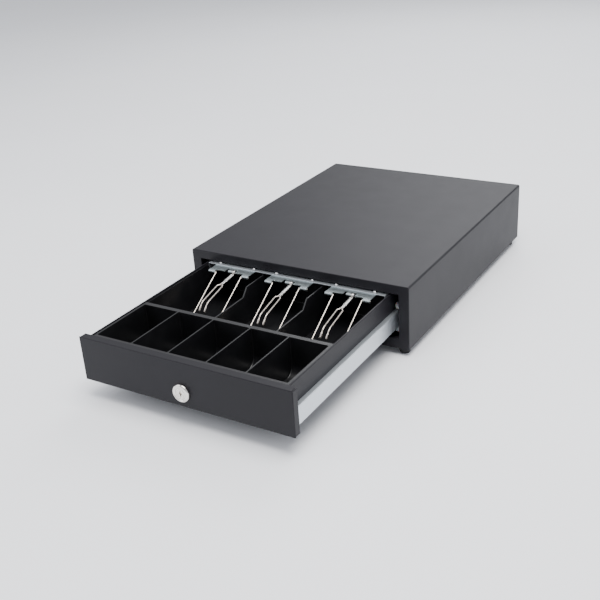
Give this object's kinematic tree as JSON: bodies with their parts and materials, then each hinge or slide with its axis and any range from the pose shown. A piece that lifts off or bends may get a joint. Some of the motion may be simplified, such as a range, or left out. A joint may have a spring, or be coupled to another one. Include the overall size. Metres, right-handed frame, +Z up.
{
  "type": "cash drawer",
  "caption": "Slim black steel cash drawer on roller slides, run open, with a coin tray, wire note clips, a key lock and an electric latch.",
  "frame": {"origin": "middle of the footprint at floor level, with the drawer fully open", "axes": "+X to the right seen from the front, +Y from the drawer's front to the case's back, +Z up"},
  "size_m": [0.33, 0.6716, 0.097],
  "materials": {
    "black_powder_coat": "fine satin texture",
    "black_screws": "satin",
    "black_plastic": "fine moulded texture",
    "rubber": "matt",
    "zinc_plate": "bright zinc plated",
    "bright_steel": "turned",
    "spring_wire": "drawn wire, nickel plated",
    "chrome": "polished",
    "nylon": "moulded",
    "coil_tape": "taped winding",
    "switch_plastic": "moulded",
    "board": "lacquered board"
  },
  "bodies": {
    "case": {"cover": "black_powder_coat", "base_plate": "black_powder_coat", "back_panel": "black_powder_coat", "case_screws": "black_screws", "foot_screws": "bright_steel", "foot_front_left": "rubber", "foot_back_left": "rubber", "foot_front_right": "rubber", "foot_back_right": "rubber", "case_rail_left": "zinc_plate", "case_rail_right": "zinc_plate", "rail_brackets": "zinc_plate", "mouth_axles": "bright_steel", "latch_bracket": "zinc_plate", "hook_pin": "bright_steel", "solenoid_frame": "zinc_plate", "solenoid_coil": "coil_tape", "spring_posts": "bright_steel", "ejector_springs": "spring_wire", "micro_switch": "switch_plastic", "jack_socket": "switch_plastic", "circuit_board": "board"},
    "drawer": {"drawer_pan": "black_powder_coat", "fascia": "black_powder_coat", "striker": "zinc_plate", "lock_barrel": "chrome", "lock_nut": "zinc_plate", "drawer_rail_left": "zinc_plate", "drawer_rail_right": "zinc_plate", "tail_axles": "bright_steel", "till_tray": "black_plastic", "coin_tray": "black_plastic", "note_dividers": "black_plastic", "clip_bar": "zinc_plate", "clip_plate_1": "zinc_plate", "clip_plate_2": "zinc_plate", "clip_plate_3": "zinc_plate", "clip_rivets": "bright_steel", "clip_pins": "bright_steel"},
    "lock": {"lock_plug": "chrome", "lock_cam": "zinc_plate"},
    "latch": {"latch_hook": "zinc_plate"},
    "plunger": {"plunger": "bright_steel"},
    "switch": {"switch_lever": "spring_wire"},
    "support_roller_left": {"support_roller_left": "nylon"},
    "guide_roller_left": {"guide_roller_left": "nylon"},
    "tail_roller_left": {"tail_roller_left": "nylon"},
    "support_roller_right": {"support_roller_right": "nylon"},
    "guide_roller_right": {"guide_roller_right": "nylon"},
    "tail_roller_right": {"tail_roller_right": "nylon"},
    "bail_1": {"bail_1": "spring_wire"},
    "arm_1": {"arm_sleeve_1": "spring_wire", "fork_1": "spring_wire"},
    "bail_2": {"bail_2": "spring_wire"},
    "arm_2": {"arm_sleeve_2": "spring_wire", "fork_2": "spring_wire"},
    "bail_3": {"bail_3": "spring_wire"},
    "arm_3": {"arm_sleeve_3": "spring_wire", "fork_3": "spring_wire"}
  },
  "joints": [
    {"name": "drawer_slide", "type": "slide", "parent": "case", "child": "drawer", "axis": [0, -1, 0], "range_m": [-0.25, 0], "deforming": ["ejector_springs"]},
    {"name": "lock_turn", "type": "hinge", "parent": "drawer", "child": "lock", "pos_m": [0, -0.3318, 0.044], "axis": [0, 1, 0], "range_deg": [-90, 0]},
    {"name": "latch_lift", "type": "hinge", "parent": "case", "child": "latch", "pos_m": [0, 0.3122, 0.046], "axis": [-1, 0, 0], "range_deg": [0, 12], "stiffness_Nm_per_rad": 0.05, "springref_deg": -11.46},
    {"name": "plunger_pull", "type": "slide", "parent": "case", "child": "plunger", "axis": [0, 0, 1], "range_m": [0, 0.0029]},
    {"name": "switch_press", "type": "hinge", "parent": "case", "child": "switch", "pos_m": [0.1, 0.2787, 0.0336], "axis": [-1, 0, 0], "range_deg": [0, 10], "stiffness_Nm_per_rad": 0.005, "springref_deg": -5.73},
    {"name": "support_roller_turn_left", "type": "hinge", "parent": "case", "child": "support_roller_left", "pos_m": [-0.1422, -0.0638, 0.0284], "axis": [1, 0, 0], "range_deg": [-3188.1, 5]},
    {"name": "guide_roller_turn_left", "type": "hinge", "parent": "case", "child": "guide_roller_left", "pos_m": [-0.1422, -0.0638, 0.0606], "axis": [1, 0, 0], "range_deg": [-5, 3188.1]},
    {"name": "tail_roller_turn_left", "type": "hinge", "parent": "drawer", "child": "tail_roller_left", "pos_m": [-0.1484, 0.0062, 0.0445], "axis": [1, 0, 0], "range_deg": [-5, 2208.7]},
    {"name": "support_roller_turn_right", "type": "hinge", "parent": "case", "child": "support_roller_right", "pos_m": [0.1422, -0.0638, 0.0284], "axis": [1, 0, 0], "range_deg": [-3188.1, 5]},
    {"name": "guide_roller_turn_right", "type": "hinge", "parent": "case", "child": "guide_roller_right", "pos_m": [0.1422, -0.0638, 0.0606], "axis": [1, 0, 0], "range_deg": [-5, 3188.1]},
    {"name": "tail_roller_turn_right", "type": "hinge", "parent": "drawer", "child": "tail_roller_right", "pos_m": [0.1484, 0.0062, 0.0445], "axis": [1, 0, 0], "range_deg": [-5, 2208.7]},
    {"name": "bail_lift_1", "type": "hinge", "parent": "drawer", "child": "bail_1", "pos_m": [-0.09047, -0.1022, 0.0791], "axis": [-1, 0, 0], "range_deg": [0, 75]},
    {"name": "arm_lift_1", "type": "hinge", "parent": "drawer", "child": "arm_1", "pos_m": [-0.09047, -0.0945, 0.0791], "axis": [-1, 0, 0], "range_deg": [0, 55], "stiffness_Nm_per_rad": 0.02, "springref_deg": -20.05},
    {"name": "bail_lift_2", "type": "hinge", "parent": "drawer", "child": "bail_2", "pos_m": [0, -0.1022, 0.0791], "axis": [-1, 0, 0], "range_deg": [0, 75]},
    {"name": "arm_lift_2", "type": "hinge", "parent": "drawer", "child": "arm_2", "pos_m": [0, -0.0945, 0.0791], "axis": [-1, 0, 0], "range_deg": [0, 55], "stiffness_Nm_per_rad": 0.02, "springref_deg": -20.05},
    {"name": "bail_lift_3", "type": "hinge", "parent": "drawer", "child": "bail_3", "pos_m": [0.09047, -0.1022, 0.0791], "axis": [-1, 0, 0], "range_deg": [0, 75]},
    {"name": "arm_lift_3", "type": "hinge", "parent": "drawer", "child": "arm_3", "pos_m": [0.09047, -0.0945, 0.0791], "axis": [-1, 0, 0], "range_deg": [0, 55], "stiffness_Nm_per_rad": 0.02, "springref_deg": -20.05}
  ],
  "couplings": [
    {"joint": "latch_lift", "follows": "plunger_pull", "rad_per_m": 71.429},
    {"joint": "support_roller_turn_left", "follows": "drawer_slide", "rad_per_m": 222.22},
    {"joint": "guide_roller_turn_left", "follows": "drawer_slide", "rad_per_m": -222.22},
    {"joint": "tail_roller_turn_left", "follows": "drawer_slide", "rad_per_m": -153.85},
    {"joint": "support_roller_turn_right", "follows": "drawer_slide", "rad_per_m": 222.22},
    {"joint": "guide_roller_turn_right", "follows": "drawer_slide", "rad_per_m": -222.22},
    {"joint": "tail_roller_turn_right", "follows": "drawer_slide", "rad_per_m": -153.85}
  ]
}
